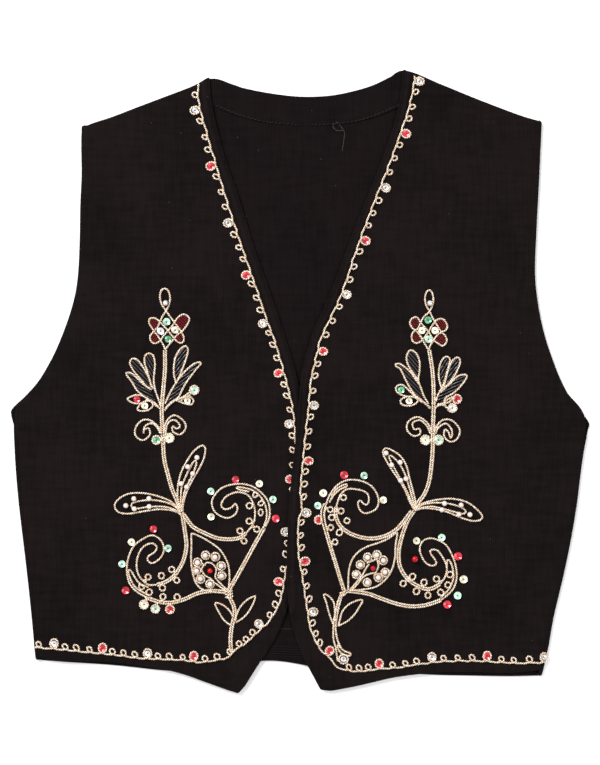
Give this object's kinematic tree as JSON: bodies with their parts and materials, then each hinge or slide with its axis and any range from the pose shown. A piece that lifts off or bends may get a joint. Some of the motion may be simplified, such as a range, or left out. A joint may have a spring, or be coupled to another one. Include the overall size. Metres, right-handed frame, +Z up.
{
  "type": "open-front knitted waistcoat",
  "caption": "Sleeveless open-front knitted waistcoat lying flat, with a V neck, pointed front hems, a turned back hem and two sewn pearl flowers.",
  "frame": {"origin": "middle of the underside's bounding rectangle, on the surface that the waistcoat lies on", "axes": "+Z up, out of the fronts; +Y from the hem toward the neck; +X from the wearer's right side toward the wearer's left"},
  "size_m": [0.4633, 0.4982, 0.0096],
  "materials": {
    "black_knit": "matt fine ribbed knit, brushed",
    "pearl": "pearl lustre",
    "garnet": "clear red, glossy"
  },
  "bodies": {
    "root": {"back": "black_knit", "right_front": "black_knit", "left_front": "black_knit", "back_neck_facing": "black_knit", "right_front_flower_centre": "garnet", "right_front_flower_pearl_1": "pearl", "right_front_flower_pearl_2": "pearl", "right_front_flower_pearl_3": "pearl", "right_front_flower_pearl_4": "pearl", "right_front_flower_pearl_5": "pearl", "right_front_flower_pearl_6": "pearl", "right_front_flower_pearl_7": "pearl", "right_front_flower_pearl_8": "pearl", "left_front_flower_centre": "garnet", "left_front_flower_pearl_1": "pearl", "left_front_flower_pearl_2": "pearl", "left_front_flower_pearl_3": "pearl", "left_front_flower_pearl_4": "pearl", "left_front_flower_pearl_5": "pearl", "left_front_flower_pearl_6": "pearl", "left_front_flower_pearl_7": "pearl", "left_front_flower_pearl_8": "pearl"}
  },
  "joints": []
}
